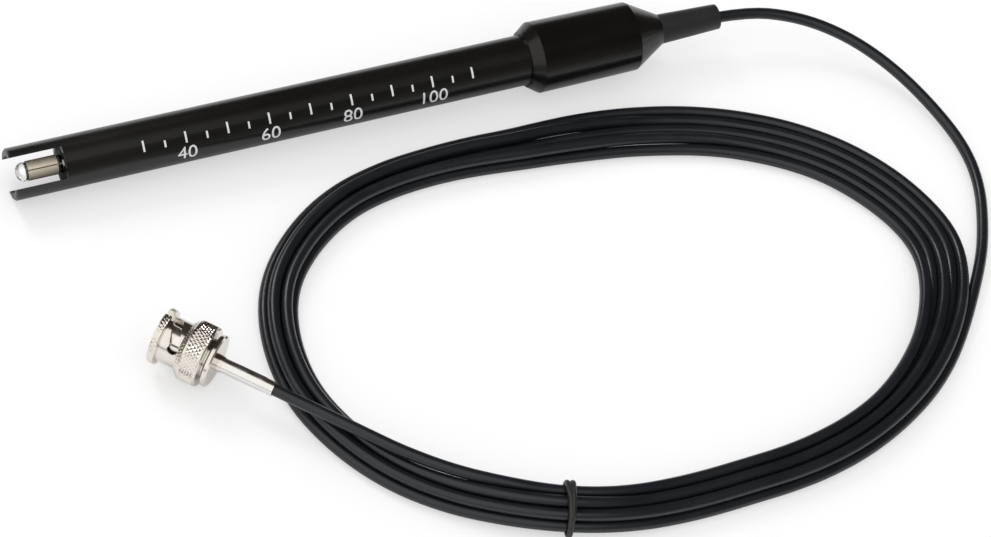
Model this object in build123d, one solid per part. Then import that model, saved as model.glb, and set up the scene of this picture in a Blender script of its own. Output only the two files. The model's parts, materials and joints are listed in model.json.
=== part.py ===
from build123d import *
import math
import os

# Redox electrode with its coaxial lead and bayonet plug. Millimetres, +Z up. The electrode lies along +X
# from its sensor tip to its boot, and the origin is under its middle, on the surface that it lies on.

# Shaft and the slotted guard round the sensor
SHAFT_DIAMETER = 12.0
SHAFT_WALL = 1.5
SHAFT_VISIBLE = 125.0
SHAFT_IN_HEAD = 14.0
SPIGOT_DIAMETER = 11.5
SLOT_WIDTH = 7.3
SLOT_DEPTH = 12.0
SLOT_FACES_UP = 55.6
GUARD_EDGE = 0.35

# Sensor stem, its platinum band and what closes the shaft round it
STEM_DIAMETER = 4.3
STEM_WALL = 0.55
STEM_RECESS = 1.6
STEM_DOME_HEIGHT = 1.3
STEM_REAR_OUT = 3.0
BAND_FROM_TIP = 2.4
BAND_LENGTH = 6.9
BAND_THICKNESS = 0.12
BAND_SEAM = 0.25
SEAL_LENGTH = 6.0
JUNCTION_DIAMETER = 1.4
JUNCTION_PROUD = 0.15
REAR_PLUG_LENGTH = 8.0
SIGNAL_WIRE_DIAMETER = 0.4
REFERENCE_WIRE_DIAMETER = 0.6
REFERENCE_WIRE_LENGTH = 85.0

# Head cap
HEAD_FRONT_DIAMETER = 13.4
HEAD_DIAMETER = 17.0
HEAD_REAR_DIAMETER = 16.5
HEAD_END_DIAMETER = 7.7
HEAD_CHAMFER_LENGTH = 2.55
HEAD_CONE_LENGTH = 7.65
HEAD_CAVITY_DIAMETER = 10.4
HEAD_REAR_WALL = 5.1
GLUE_GAP = 0.05

# Strain relief boot
BOOT_LENGTH = 15.5
BOOT_DIAMETER = 7.2
BOOT_END_DIAMETER = 6.1
BOOT_NECK_DIAMETER = 5.0
BOOT_FLANGE_DIAMETER = 8.0
BOOT_FLANGE_THICKNESS = 2.2

# Coaxial cable
CABLE_DIAMETER = 2.75
CORE_DIAMETER = 1.5
BOOT_GRIP_GAP = 0.04
JACKET_BEHIND_FLANGE = 2.0
CORE_IN_HEAD = 4.0
SPLICE_DIAMETER = 2.2
SPLICE_LENGTH = 5.0
SPLICE_OVERLAP = 1.5
SPLICE_ROOM = 8.7
SHIELD_DIAMETER = 0.8

# Route of the lead after the boot, lying down onto the surface and along to the coil
LEAD_IN_BOOT = 6.5
LEAD_OUT_OF_BOOT = 6.5
LEAD_POINTS = [
    (107.6, -4.4, 9.0),
    (118.2, -11.6, 7.3),
    (126.4, -21.2, 5.1),
    (132.2, -32.8, 3.1),
    (135.8, -46.0, 1.75),
    (134.6, -58.0, 1.45),
    (129.0, -71.0, 1.45),
    (120.5, -84.5, 1.45),
    (112.5, -95.5, 1.45),
]

# Middle line of the coil on the surface, with how far its strands spread there in diameters
COIL_LINE = [
    (103.5, -45.4, 1.0),
    (83.3, -30.8, 1.0),
    (63.4, -23.9, 0.93),
    (45.6, -21.2, 0.81),
    (28.4, -20.4, 0.68),
    (8.4, -19.9, 0.62),
    (-16.4, -24.7, 0.58),
    (-37.7, -42.3, 0.5),
    (-42.4, -69.6, 0.5),
    (-29.1, -93.6, 0.5),
    (-9.3, -108.5, 0.5),
    (9.8, -116.7, 0.5),
    (28.3, -119.1, 0.5),
    (45.8, -119.0, 0.5),
    (64.6, -117.2, 0.5),
    (85.6, -110.3, 0.55),
    (105.2, -94.3, 0.75),
    (114.9, -69.6, 1.0),
]
COIL_LANES = 4.4
COIL_HEIGHT = 5.2
COIL_EDGE = 1.2

# Band wound twice round the coil
TIE_DIAMETER = 1.3
TIE_CENTRE = (3.8, -114.6)
TIE_ACROSS_TURN = -23.2
TIE_SPREAD = 3.0
TIE_SUNK = 0.25
TIE_CORNER = 1.9

# Tail of the cable, over the coil to the plug
TAIL_POINTS = [(-14.0, -101.5, 4.4), (-27.0, -92.0, 6.9)]
TAIL_OUT_OF_FERRULE = 10.2
TAIL_IN_FERRULE = 4.5
JACKET_BEHIND_POST = 0.5

# Bayonet plug, measured from the rim of its nut towards the cable
PLUG_END = (-49.5, -70.2)
PLUG_HEADING = 134.0
PLUG_LIFT = 0.05
NUT_BORE = 9.75
LIP_LENGTH = 1.7
LIP_DIAMETER = 12.9
SLEEVE_LENGTH = 4.6
SLEEVE_DIAMETER = 10.7
RING_DIAMETER = 14.0
RING_LENGTH = 5.7
RING_CHAMFER_LENGTH = 1.3
RING_CHAMFER_HEIGHT = 1.2
RING_EDGE = 0.25
NUT_REAR_WALL = 1.05
NUT_TRAVEL = 0.6
NUT_TURN = -33.0

# Bayonet slots of the nut
SOCKET_PIN_SLOT = 2.2
SLOT_ENTRY_DEPTH = 3.2
SLOT_RAMP_TURN = 75.0
SLOT_RAMP_RISE = 2.0
SLOT_DETENT_TURN = 4.0
SLOT_DETENT_BACK = 0.35

# Body, contacts and washers of the plug
RUNNING_GAP = 0.05
HUB_DIAMETER = 7.0
SHOULDER_DIAMETER = 9.5
SHOULDER_THICKNESS = 1.0
GASKET_THICKNESS = 0.7
SPRING_WASHER_THICKNESS = 0.25
THRUST_WASHER_THICKNESS = 0.4
DISC_GROOVE = 0.7
DISC_THICKNESS = 1.4
DISC_DIAMETER = 12.2
DISC_BEVEL = 0.35
DISC_SEAT_DIAMETER = 5.2
COLLAR_DIAMETER = 3.8
COLLAR_LENGTH = 1.5
POST_DIAMETER = 2.1
POST_LENGTH = 4.4
POST_BORE = 1.6
OUTER_CONTACT_RECESS = 1.2
OUTER_CONTACT_DIAMETER = 8.1
OUTER_CONTACT_WALL = 0.55
OUTER_CONTACT_LIP = 0.12
OUTER_CONTACT_SLITS = 4
SLIT_WIDTH = 0.5
PIN_RECESS = 1.7
PIN_DIAMETER = 1.35
PIN_TAIL_DIAMETER = 2.0
INSULATOR_NOSE_DIAMETER = 4.7
INSULATOR_NOSE_RECESS = 3.6
INSULATOR_STEP = 6.3
FERRULE_DIAMETER = 3.4
FERRULE_WALL = 0.25
FERRULE_LENGTH = 12.4
FERRULE_STEP_LENGTH = 2.4
FERRULE_STEP_HEIGHT = 0.08

# Sizes worked out from those above
SHAFT_RADIUS = SHAFT_DIAMETER / 2
SHAFT_BORE_RADIUS = SHAFT_RADIUS - SHAFT_WALL
SHAFT_LENGTH = SHAFT_VISIBLE + SHAFT_IN_HEAD
STEM_RADIUS = STEM_DIAMETER / 2
STEM_BORE_RADIUS = STEM_RADIUS - STEM_WALL
STEM_END = SHAFT_LENGTH + STEM_REAR_OUT
SEAL_END = SLOT_DEPTH + SEAL_LENGTH
PLUG_SEAL_START = SHAFT_LENGTH - REAR_PLUG_LENGTH
RING_MIDDLE = (STEM_RADIUS + SHAFT_BORE_RADIUS) / 2
JACKET_END = STEM_END + SPLICE_ROOM
FLANGE_START = JACKET_END + JACKET_BEHIND_FLANGE
HEAD_CAVITY_END = FLANGE_START + BOOT_FLANGE_THICKNESS
HEAD_END = HEAD_CAVITY_END + HEAD_REAR_WALL
BOOT_END = HEAD_END + BOOT_LENGTH
CORE_END = JACKET_END - CORE_IN_HEAD
SPLICE_START = CORE_END + SPLICE_OVERLAP - SPLICE_LENGTH
CABLE_RADIUS = CABLE_DIAMETER / 2
NUT_BORE_RADIUS = NUT_BORE / 2
RING_RADIUS = RING_DIAMETER / 2
SLEEVE_END = LIP_LENGTH + SLEEVE_LENGTH
NUT_LENGTH = SLEEVE_END + RING_LENGTH
NUT_WALL_START = NUT_LENGTH - NUT_REAR_WALL
THRUST_START = NUT_WALL_START - RUNNING_GAP - THRUST_WASHER_THICKNESS
SPRING_ROOM = NUT_TRAVEL + SPRING_WASHER_THICKNESS
SHOULDER_END = THRUST_START - SPRING_ROOM - RUNNING_GAP
SHOULDER_START = SHOULDER_END - SHOULDER_THICKNESS
GASKET_START = SHOULDER_START - GASKET_THICKNESS
HUB_RADIUS = HUB_DIAMETER / 2
DISC_START = NUT_LENGTH + DISC_GROOVE
DISC_END = DISC_START + DISC_THICKNESS
COLLAR_END = DISC_END + COLLAR_LENGTH
POST_END = COLLAR_END + POST_LENGTH
FERRULE_START = COLLAR_END
PLUG_LENGTH = FERRULE_START + FERRULE_LENGTH
FERRULE_BORE_RADIUS = FERRULE_DIAMETER / 2 - FERRULE_WALL
PLUG_JACKET_END = POST_END + JACKET_BEHIND_POST
OUTER_CONTACT_RADIUS = OUTER_CONTACT_DIAMETER / 2
OUTER_CONTACT_BORE_RADIUS = OUTER_CONTACT_RADIUS - OUTER_CONTACT_WALL


def turned(points):
    """Solid turned about Z from a closed outline of (radius, height) points."""
    outline = Polyline(*points, close=True)
    return revolve(Plane.XZ * make_face(outline), Axis.Z)


def tube(outer, inner, start, end):
    """Straight tube about Z between two heights."""
    return turned([(inner, start), (outer, start), (outer, end), (inner, end)])


def rod(radius, start, end):
    """Straight rod about Z between two heights."""
    return Pos(0, 0, start) * Cylinder(radius, end - start, align=(Align.CENTER, Align.CENTER, Align.MIN))


def make_shaft_body():
    """Moulded tube with a spigot for the head, cut across at its tip into two prongs round the sensor."""
    spigot = SPIGOT_DIAMETER / 2
    shaft = turned([
        (SHAFT_BORE_RADIUS, 0), (SHAFT_RADIUS, 0), (SHAFT_RADIUS, SHAFT_VISIBLE), (spigot, SHAFT_VISIBLE),
        (spigot, SHAFT_LENGTH), (SHAFT_BORE_RADIUS, SHAFT_LENGTH),
    ])
    slot = Box(2 * SHAFT_DIAMETER, SLOT_WIDTH, SLOT_DEPTH, align=(Align.CENTER, Align.CENTER, Align.MIN))
    shaft -= slot
    tips = shaft.faces().sort_by(Axis.Z)[0:2]
    outer_edges = [tip.edges().filter_by(GeomType.CIRCLE).sort_by(SortBy.RADIUS)[-1] for tip in tips]
    return chamfer(outer_edges, GUARD_EDGE)


def make_sensor_stem():
    """Glass tube with a closed, domed end."""
    tip = STEM_RECESS
    shoulder = tip + STEM_DOME_HEIGHT
    inner_shoulder = shoulder + STEM_WALL
    dome = ThreePointArc((0, tip), (STEM_RADIUS * 0.72, tip + STEM_DOME_HEIGHT * 0.28), (STEM_RADIUS, shoulder))
    walls = Polyline(
        (STEM_RADIUS, shoulder), (STEM_RADIUS, STEM_END), (STEM_BORE_RADIUS, STEM_END),
        (STEM_BORE_RADIUS, inner_shoulder), (0, tip + STEM_WALL + STEM_DOME_HEIGHT * 0.3), (0, tip),
    )
    return revolve(Plane.XZ * make_face(dome + walls), Axis.Z)


def make_platinum_band():
    """Thin sheet rolled round the stem, open along its seam."""
    start = STEM_RECESS + BAND_FROM_TIP
    band = tube(STEM_RADIUS + BAND_THICKNESS, STEM_RADIUS, start, start + BAND_LENGTH)
    seam = Pos(STEM_RADIUS, 0, start) * Box(
        2 * STEM_WALL, BAND_SEAM, BAND_LENGTH, align=(Align.CENTER, Align.CENTER, Align.MIN)
    )
    return band - seam


def make_reference_junction():
    """Porous pin through the seal, a little proud of the slot's floor."""
    return Pos(RING_MIDDLE, 0, 0) * rod(JUNCTION_DIAMETER / 2, SLOT_DEPTH - JUNCTION_PROUD, SEAL_END)


def make_stem_seal(junction):
    """Potting that closes the shaft at the floor of the slot."""
    return tube(SHAFT_BORE_RADIUS, STEM_RADIUS, SLOT_DEPTH, SEAL_END) - junction


def make_reference_wire():
    """Silver wire in the gel, led out through the rear plug."""
    start = STEM_END - REFERENCE_WIRE_LENGTH
    return Pos(-RING_MIDDLE, 0, 0) * rod(REFERENCE_WIRE_DIAMETER / 2, start, STEM_END)


def make_signal_wire():
    """Platinum wire on the stem's axis, from beside the band to the splice."""
    band_middle = STEM_RECESS + BAND_FROM_TIP + BAND_LENGTH / 2
    return rod(SIGNAL_WIRE_DIAMETER / 2, band_middle, CORE_END)


def make_head_cap():
    """Moulded cap with a glued seat for the spigot, a cavity behind it and a hole for the boot."""
    seat = SPIGOT_DIAMETER / 2 + GLUE_GAP
    front_end = SHAFT_VISIBLE + HEAD_CHAMFER_LENGTH
    cone_start = HEAD_END - HEAD_CONE_LENGTH
    cavity = HEAD_CAVITY_DIAMETER / 2
    neck = BOOT_NECK_DIAMETER / 2 + GLUE_GAP
    return turned([
        (seat, SHAFT_VISIBLE), (HEAD_FRONT_DIAMETER / 2, SHAFT_VISIBLE), (HEAD_DIAMETER / 2, front_end),
        (HEAD_REAR_DIAMETER / 2, cone_start), (HEAD_END_DIAMETER / 2, HEAD_END), (neck, HEAD_END),
        (neck, HEAD_CAVITY_END), (cavity, HEAD_CAVITY_END), (cavity, SHAFT_LENGTH), (seat, SHAFT_LENGTH),
    ])


def make_strain_relief():
    """Rubber boot held by the flange behind the head's rear wall."""
    bore = CABLE_RADIUS + BOOT_GRIP_GAP
    neck = BOOT_NECK_DIAMETER / 2
    flange = BOOT_FLANGE_DIAMETER / 2
    return turned([
        (bore, FLANGE_START), (flange, FLANGE_START), (flange, HEAD_CAVITY_END), (neck, HEAD_CAVITY_END),
        (neck, HEAD_END), (BOOT_DIAMETER / 2, HEAD_END), (BOOT_END_DIAMETER / 2, BOOT_END), (bore, BOOT_END),
    ])


def make_shield_wire():
    """The cable's shield, twisted and bent over to the end of the reference wire."""
    radius = SHIELD_DIAMETER / 2
    beside_jacket = CORE_DIAMETER / 2 + radius + RUNNING_GAP
    start = (-beside_jacket, 0, JACKET_END)
    bend_in = (-beside_jacket, 0, JACKET_END - SHIELD_DIAMETER * 1.5)
    bend_out = (-RING_MIDDLE, 0, STEM_END + SHIELD_DIAMETER * 1.5)
    end = (-RING_MIDDLE, 0, STEM_END)
    path = FilletPolyline(start, bend_in, bend_out, end, radius=SHIELD_DIAMETER)
    return sweep(Plane(origin=start, z_dir=(0, 0, -1)) * Circle(radius), path=path)


def make_core_in_head():
    """Insulated core of the cable, stripped inside the head."""
    return rod(CORE_DIAMETER / 2, CORE_END, JACKET_END)


def make_signal_splice():
    """Crimped sleeve over the ends of the signal wire and the core."""
    outer = SPLICE_DIAMETER / 2
    over_core = CORE_DIAMETER / 2
    return turned([
        (SIGNAL_WIRE_DIAMETER / 2, SPLICE_START), (outer, SPLICE_START), (outer, SPLICE_START + SPLICE_LENGTH),
        (over_core, SPLICE_START + SPLICE_LENGTH), (over_core, CORE_END), (SIGNAL_WIRE_DIAMETER / 2, CORE_END),
    ])


def bend_radii(points):
    """Largest radius at each corner that leaves a tenth of the shorter run straight."""
    radii = []
    for before, corner, after in zip(points, points[1:], points[2:]):
        arriving = Vector(*corner) - Vector(*before)
        leaving = Vector(*after) - Vector(*corner)
        half_turn = math.radians(arriving.get_angle(leaving)) / 2
        radii.append(0.45 * min(arriving.length, leaving.length) / math.tan(half_turn))
    return radii


def cable_tube(name, points):
    """Cable along straight runs joined by tangent arcs, with its bends and its volume printed."""
    radii = bend_radii(points)
    path = FilletPolyline(*points, radius=radii)
    start = Vector(*points[0])
    solid = sweep(Plane(origin=start, z_dir=Vector(*points[1]) - start) * Circle(CABLE_RADIUS), path=path)
    expected = math.pi * CABLE_RADIUS**2 * path.length
    bends = ", ".join(f"{radius:.0f}" for radius in radii)
    print(f"{name}: length {path.length:.1f}, bends {bends}, volume over expected {solid.volume / expected:.4f}")
    return solid


def make_cable_lead(along):
    """Jacket from inside the head, through the boot, down to the surface and into the coil."""
    joint = BOOT_END - LEAD_IN_BOOT
    first = [tuple(along(joint)), tuple(along(BOOT_END + LEAD_OUT_OF_BOOT))]
    free = cable_tube("cable_lead", first + LEAD_POINTS)
    direction = along(1) - along(0)
    held = extrude(Plane(origin=along(JACKET_END), z_dir=direction) * Circle(CABLE_RADIUS), joint - JACKET_END)
    return held + free


def coil_outline(side):
    """One edge of the coil: side is 1 for the outer edge and -1 for the inner."""
    edge = []
    count = len(COIL_LINE)
    for i, (x, y, spread) in enumerate(COIL_LINE):
        before = COIL_LINE[i - 1]
        after = COIL_LINE[(i + 1) % count]
        along = Vector(after[0] - before[0], after[1] - before[1]).normalized()
        half_width = side * (COIL_LANES * spread + 1) * CABLE_DIAMETER / 2
        edge.append((x + along.Y * half_width, y - along.X * half_width))
    return make_face(Spline(*edge, periodic=True))


def make_cable_coil():
    """The tied turns of the cable as one closed ring, pressed in where the tie goes round it."""
    grooves = make_coil_tie(RUNNING_GAP)
    ring = extrude(coil_outline(1) - coil_outline(-1), COIL_HEIGHT)
    rims = ring.faces().filter_by(Axis.Z).edges()
    return fillet(rims, COIL_EDGE) - grooves


def make_coil_tie(gap=0.0):
    """Two turns of a round band, close together inside the coil and apart outside it, or their grooves."""
    radius = TIE_DIAMETER / 2
    spread = (COIL_LANES * 0.5 + 1) * CABLE_DIAMETER
    low = radius
    high = COIL_HEIGHT + radius - TIE_SUNK
    width = spread + 2 * (radius - TIE_SUNK)
    turns = []
    for side in (-1, 1):
        loop = Pos(0, (low + high) / 2) * RectangleRounded(width, high - low, TIE_CORNER)
        path = loop.wire()
        section = Plane(origin=path @ 0, z_dir=path % 0) * Circle(radius + gap)
        ring = Rot(X=90) * sweep(section, path=path)
        swung = Pos(-width / 2, side * (radius + RUNNING_GAP), 0) * Rot(Z=side * TIE_SPREAD) * Pos(width / 2) * ring
        turns.append(swung)
    across = Pos(*TIE_CENTRE, 0) * Rot(Z=TIE_ACROSS_TURN - 90)
    return [across * turn for turn in turns]


def make_cable_tail(plug):
    """Jacket from the top of the coil to the plug's ferrule."""
    joint = PLUG_LENGTH - TAIL_IN_FERRULE
    last = [plug_point(plug, PLUG_LENGTH + TAIL_OUT_OF_FERRULE), plug_point(plug, joint)]
    free = cable_tube("cable_tail", TAIL_POINTS + last)
    held = plug.location * rod(CABLE_RADIUS, PLUG_JACKET_END, joint)
    return held + free


def plug_point(plug, height):
    """Point on the plug's axis, at a height from the rim of its nut."""
    return tuple(plug.origin + plug.z_dir * height)


def bayonet_slot():
    """Cutter for one slot: an entry from the rim, a ramp, and a round detent for the socket's pin."""
    width = SOCKET_PIN_SLOT
    reach = LIP_DIAMETER
    middle = (NUT_BORE_RADIUS + LIP_DIAMETER / 2) / 2
    entry = Pos(0, 0, -1) * Box(reach, width, SLOT_ENTRY_DEPTH + 1, align=(Align.MIN, Align.CENTER, Align.MIN))
    pitch = SLOT_RAMP_RISE * 360 / SLOT_RAMP_TURN
    path = Helix(pitch, SLOT_RAMP_RISE, middle, center=(0, 0, SLOT_ENTRY_DEPTH))
    section = Plane(origin=path @ 0, x_dir=(1, 0, 0), z_dir=path % 0) * Rectangle(LIP_DIAMETER - NUT_BORE, width)
    ramp = sweep(section, path=path, is_frenet=True)
    across = Rot(Y=90) * Cylinder(width / 2, reach, align=(Align.CENTER, Align.CENTER, Align.MIN))
    start = Pos(0, 0, SLOT_ENTRY_DEPTH) * across
    ramp_end = Rot(Z=SLOT_RAMP_TURN) * Pos(0, 0, SLOT_ENTRY_DEPTH + SLOT_RAMP_RISE) * across
    detent_height = SLOT_ENTRY_DEPTH + SLOT_RAMP_RISE - SLOT_DETENT_BACK
    detent = Rot(Z=SLOT_RAMP_TURN + SLOT_DETENT_TURN) * Pos(0, 0, detent_height) * across
    return entry + start + ramp + ramp_end + detent


def make_coupling_nut():
    """Nut with a front lip, a sleeve with two bayonet slots, and the grip ring."""
    lip = LIP_DIAMETER / 2
    sleeve = SLEEVE_DIAMETER / 2
    chamfer_end = SLEEVE_END + RING_CHAMFER_LENGTH
    hole = HUB_RADIUS + RUNNING_GAP
    nut = turned([
        (NUT_BORE_RADIUS, 0), (lip - RING_EDGE, 0), (lip, RING_EDGE), (lip, LIP_LENGTH), (sleeve, LIP_LENGTH),
        (sleeve, SLEEVE_END), (RING_RADIUS - RING_CHAMFER_HEIGHT, SLEEVE_END), (RING_RADIUS, chamfer_end),
        (RING_RADIUS, NUT_LENGTH - RING_EDGE), (RING_RADIUS - RING_EDGE, NUT_LENGTH), (hole, NUT_LENGTH),
        (hole, NUT_WALL_START), (NUT_BORE_RADIUS, NUT_WALL_START),
    ])
    slot = bayonet_slot()
    nut -= slot
    nut -= Rot(Z=180) * slot
    return Rot(Z=NUT_TURN) * nut


def make_plug_body():
    """Body with the shoulder, the hub that the nut turns on, and the crimp post behind it."""
    shoulder = SHOULDER_DIAMETER / 2
    seat = DISC_SEAT_DIAMETER / 2
    bore = POST_BORE / 2
    hub_end = NUT_LENGTH + RUNNING_GAP
    return turned([
        (OUTER_CONTACT_RADIUS, SHOULDER_START), (shoulder, SHOULDER_START), (shoulder, SHOULDER_END),
        (HUB_RADIUS, SHOULDER_END), (HUB_RADIUS, hub_end), (seat, hub_end), (seat, DISC_END),
        (COLLAR_DIAMETER / 2, DISC_END), (COLLAR_DIAMETER / 2, COLLAR_END), (POST_DIAMETER / 2, COLLAR_END),
        (POST_DIAMETER / 2, POST_END), (bore, POST_END), (bore, SHOULDER_END), (OUTER_CONTACT_RADIUS, SHOULDER_END),
    ])


def make_outer_contact():
    """Spring sleeve, slit into fingers with a small bead round their tips."""
    inner = OUTER_CONTACT_BORE_RADIUS
    outer = OUTER_CONTACT_RADIUS - OUTER_CONTACT_LIP
    front = OUTER_CONTACT_RECESS
    sleeve = turned([
        (inner, front), (outer, front), (OUTER_CONTACT_RADIUS, front + 0.5), (OUTER_CONTACT_RADIUS, front + 1.1),
        (outer, front + 1.6), (outer, GASKET_START - 0.3), (OUTER_CONTACT_RADIUS, GASKET_START),
        (OUTER_CONTACT_RADIUS, SHOULDER_END), (inner, SHOULDER_END),
    ])
    slit_length = GASKET_START - 0.6 - front
    for i in range(OUTER_CONTACT_SLITS):
        slit = Box(OUTER_CONTACT_DIAMETER, SLIT_WIDTH, slit_length, align=(Align.MIN, Align.CENTER, Align.MIN))
        sleeve -= Rot(Z=360 * i / OUTER_CONTACT_SLITS + 45) * Pos(0, 0, front) * slit
    return sleeve


def make_gasket():
    """Rubber ring in front of the shoulder."""
    return tube(SHOULDER_DIAMETER / 2, OUTER_CONTACT_RADIUS, GASKET_START, SHOULDER_START)


def make_insulator():
    """White insulator with a narrow nose round the pin."""
    nose = INSULATOR_NOSE_DIAMETER / 2
    base = OUTER_CONTACT_BORE_RADIUS
    pin = PIN_DIAMETER / 2
    return turned([
        (pin, INSULATOR_NOSE_RECESS), (nose, INSULATOR_NOSE_RECESS), (nose, INSULATOR_STEP), (base, INSULATOR_STEP),
        (base, SHOULDER_END), (PIN_TAIL_DIAMETER / 2, SHOULDER_END), (PIN_TAIL_DIAMETER / 2, GASKET_START),
        (pin, GASKET_START),
    ])


def make_centre_contact():
    """Pin with a rounded point, and a wider tail crimped on the core."""
    pin = PIN_DIAMETER / 2
    tail = PIN_TAIL_DIAMETER / 2
    return turned([
        (0, PIN_RECESS), (pin * 0.4, PIN_RECESS), (pin * 0.85, PIN_RECESS + 0.35), (pin, PIN_RECESS + 0.9),
        (pin, GASKET_START), (tail, GASKET_START), (tail, SHOULDER_END), (0, SHOULDER_END),
    ])


def make_core_in_plug():
    """Insulated core of the cable, through the crimp post to the pin."""
    return rod(CORE_DIAMETER / 2, SHOULDER_END, PLUG_JACKET_END)


def make_spring_washer():
    """Ring washer bent about one axis, resting on the shoulder and bowed back to the thrust washer."""
    outer = SHOULDER_DIAMETER / 2 - RUNNING_GAP
    inner = HUB_RADIUS + 3 * RUNNING_GAP
    thickness = SPRING_WASHER_THICKNESS
    low = SHOULDER_END
    bow = SPRING_ROOM - thickness
    below = ThreePointArc((-outer, low), (0, low + bow), (outer, low))
    above = ThreePointArc((-outer, low + thickness), (0, low + bow + thickness), (outer, low + thickness))
    ends = Line(below @ 0, above @ 0) + Line(below @ 1, above @ 1)
    sheet = extrude(Plane.XZ * make_face(below + above + ends), outer, both=True)
    return sheet & tube(outer, inner, low, low + SPRING_ROOM)


def make_thrust_washer():
    """Flat washer that the nut turns against."""
    outer = NUT_BORE_RADIUS - RUNNING_GAP
    return tube(outer, HUB_RADIUS + RUNNING_GAP, THRUST_START, THRUST_START + THRUST_WASHER_THICKNESS)


def make_retaining_disc():
    """Bevelled disc pressed on the body, which the nut is drawn back against."""
    seat = DISC_SEAT_DIAMETER / 2
    edge = DISC_DIAMETER / 2
    boss = HUB_RADIUS + 1.0
    front = NUT_LENGTH + RUNNING_GAP
    return turned([
        (seat, front), (boss, front), (boss, DISC_START), (edge - DISC_BEVEL, DISC_START),
        (edge, DISC_START + DISC_BEVEL), (edge, DISC_END - DISC_BEVEL), (edge - DISC_BEVEL, DISC_END),
        (seat, DISC_END),
    ])


def make_crimp_ferrule():
    """Long thin tube crimped over the braid and the jacket, stepped down at the cable."""
    outer = FERRULE_DIAMETER / 2
    step = PLUG_LENGTH - FERRULE_STEP_LENGTH
    end = outer - FERRULE_STEP_HEIGHT
    return turned([
        (FERRULE_BORE_RADIUS, FERRULE_START), (outer, FERRULE_START), (outer, step), (end, step),
        (end, PLUG_LENGTH), (FERRULE_BORE_RADIUS, PLUG_LENGTH),
    ])


def make_cable_braid():
    """The cable's shield, folded over the crimp post under the ferrule."""
    return tube(FERRULE_BORE_RADIUS, POST_DIAMETER / 2, COLLAR_END, PLUG_JACKET_END)


def electrode_pieces():
    """Every piece of the electrode itself, along +Z from the tip."""
    junction = make_reference_junction()
    reference_wire = make_reference_wire()
    stem = make_sensor_stem()
    pieces = {
        "shaft_body": make_shaft_body(),
        "sensor_stem": stem,
        "platinum_band": make_platinum_band(),
        "signal_wire": make_signal_wire(),
        "reference_junction": junction,
        "stem_seal": make_stem_seal(junction),
        "reference_wire": reference_wire,
        "reference_gel": tube(SHAFT_BORE_RADIUS, STEM_RADIUS, SEAL_END, PLUG_SEAL_START) - reference_wire,
        "rear_plug": tube(SHAFT_BORE_RADIUS, STEM_RADIUS, PLUG_SEAL_START, SHAFT_LENGTH) - reference_wire,
        "head_cap": make_head_cap(),
        "strain_relief": make_strain_relief(),
        "shield_wire": make_shield_wire(),
        "core_in_head": make_core_in_head(),
        "signal_splice": make_signal_splice(),
    }
    potting = rod(HEAD_CAVITY_DIAMETER / 2, SHAFT_LENGTH, FLANGE_START)
    jacket = rod(CABLE_RADIUS, JACKET_END, FLANGE_START)
    stem_room = rod(STEM_RADIUS, SHAFT_LENGTH, STEM_END)
    for held in ("signal_wire", "reference_wire", "shield_wire", "core_in_head", "signal_splice"):
        potting -= pieces[held]
    pieces["head_potting"] = potting - jacket - stem_room
    return pieces


def electrode_frame(pieces):
    """Where the electrode comes to rest: its tip and the front of its head on the surface."""
    rise = HEAD_DIAMETER / 2 - SHAFT_RADIUS
    tilt = math.asin(rise / (SHAFT_VISIBLE + HEAD_CHAMFER_LENGTH))
    faces_up = math.radians(SLOT_FACES_UP)
    axis = Vector(math.cos(tilt), 0, math.sin(tilt))
    across = Vector(-math.sin(tilt) * math.sin(faces_up), -math.cos(faces_up), math.cos(tilt) * math.sin(faces_up))
    lying = Plane(origin=(0, 0, 0), x_dir=across, z_dir=axis)
    outside = [lying.location * pieces[name] for name in ("shaft_body", "head_cap", "strain_relief")]
    box = Compound(children=outside).bounding_box()
    origin = Vector(-(box.min.X + box.max.X) / 2, -(box.min.Y + box.max.Y) / 2, -box.min.Z)
    return Plane(origin=origin, x_dir=across, z_dir=axis)


def plug_frame():
    """Where the plug lies: its ring on the surface and its ferrule over the edge of the coil."""
    heading = math.radians(PLUG_HEADING)
    forward = Vector(math.cos(heading), math.sin(heading), 0)
    end = Vector(*PLUG_END, RING_RADIUS + PLUG_LIFT)
    return Plane(origin=end + forward * PLUG_LENGTH, x_dir=(0, 0, 1), z_dir=forward * -1)


def plug_pieces():
    """Every piece of the plug, along +Z from the rim of its nut."""
    return {
        "coupling_nut": make_coupling_nut(),
        "plug_body": make_plug_body(),
        "outer_contact": make_outer_contact(),
        "gasket": make_gasket(),
        "insulator": make_insulator(),
        "centre_contact": make_centre_contact(),
        "core_in_plug": make_core_in_plug(),
        "spring_washer": make_spring_washer(),
        "thrust_washer": make_thrust_washer(),
        "retaining_disc": make_retaining_disc(),
        "crimp_ferrule": make_crimp_ferrule(),
        "cable_braid": make_cable_braid(),
    }


def assemble():
    """All pieces by node name, where they lie."""
    electrode = electrode_pieces()
    frame = electrode_frame(electrode)
    plug = plug_frame()
    nodes = {name: frame.location * piece for name, piece in electrode.items()}
    nodes.update({name: plug.location * piece for name, piece in plug_pieces().items()})
    nodes["cable_lead"] = make_cable_lead(lambda height: frame.origin + frame.z_dir * height)
    nodes["cable_coil"] = make_cable_coil()
    nodes["coil_tie"] = Compound(children=make_coil_tie())
    nodes["cable_tail"] = make_cable_tail(plug)
    return nodes


os.makedirs("parts", exist_ok=True)
for node, solid in assemble().items():
    export_step(solid, f"parts/{node}.step")
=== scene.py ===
import json
import math

import bmesh
import bpy
from mathutils import Matrix, Vector
from mathutils.geometry import convex_hull_2d


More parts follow.
